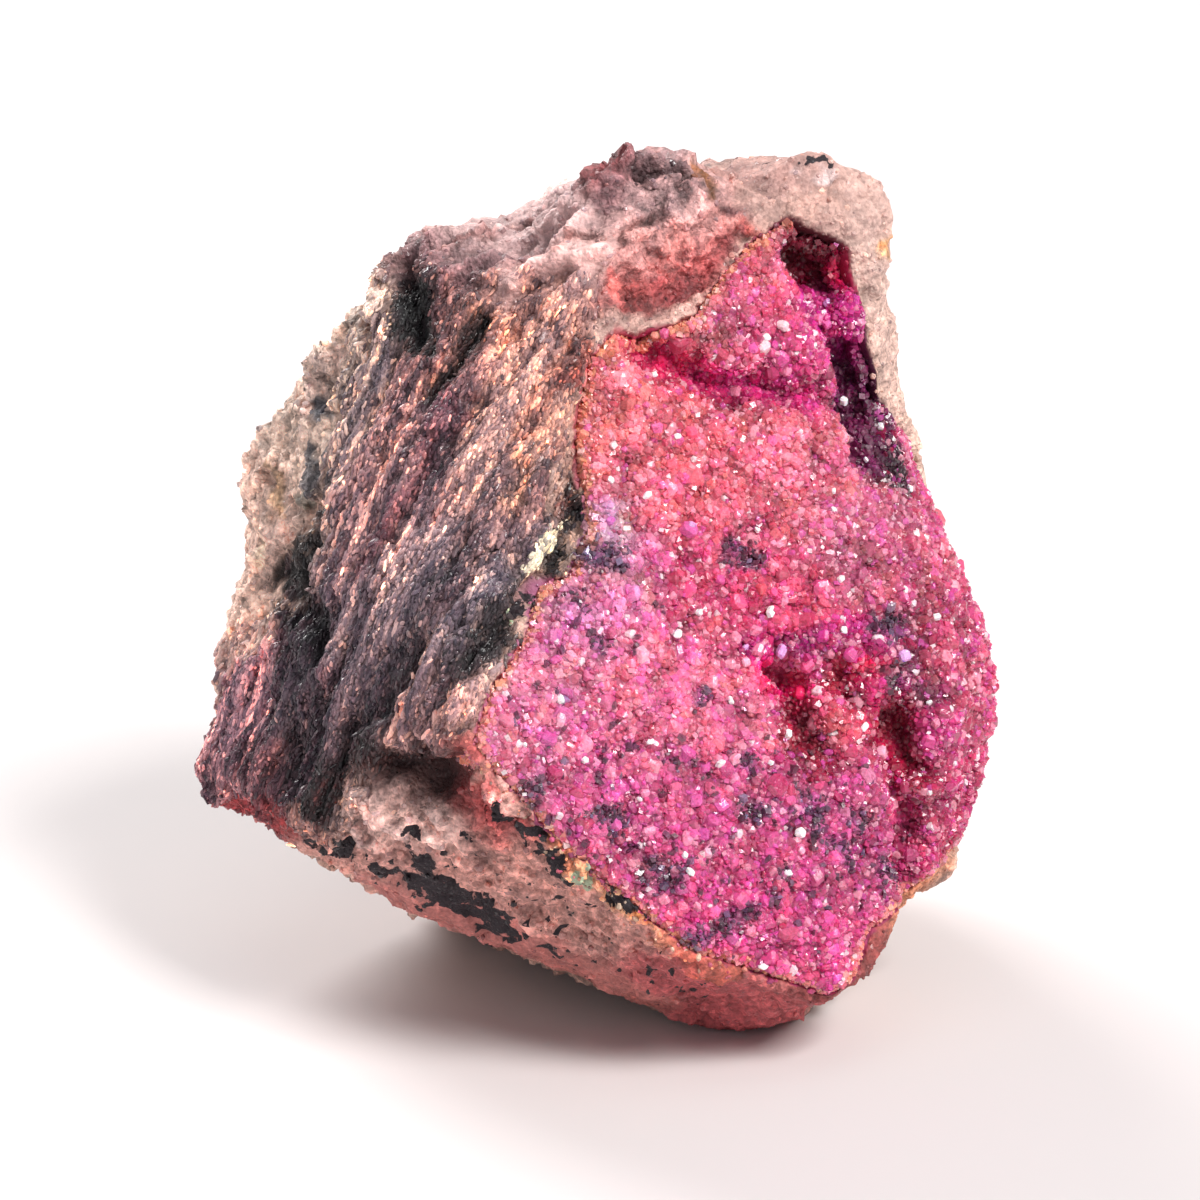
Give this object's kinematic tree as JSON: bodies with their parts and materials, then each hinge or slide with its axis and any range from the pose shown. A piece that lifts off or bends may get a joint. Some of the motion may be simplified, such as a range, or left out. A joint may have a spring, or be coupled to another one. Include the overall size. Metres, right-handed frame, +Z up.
{
  "type": "cobaltocalcite mineral specimen",
  "caption": "Hand specimen of pale fibrous host rock with one sloping face under a sparkling crust of small pink crystals, resting on a flat facet.",
  "frame": {"origin": "centre of the bounding box, at the height of the resting facet", "axes": "+Z up from the resting facet, the longest way through the stone; -Y towards the side that shows the crystal crust and the fibrous left face together"},
  "size_m": [0.0614, 0.0568, 0.0655],
  "materials": {
    "host_rock": "rough broken rock, tan, mauve and brown, with fine ridges on the left face and black spots below",
    "pink_crystal": "glassy crystal grains, hot pink to crimson, with blue-black specks"
  },
  "bodies": {
    "root": {"matrix": "host_rock", "cobaltocalcite_crust": "pink_crystal"}
  },
  "joints": []
}
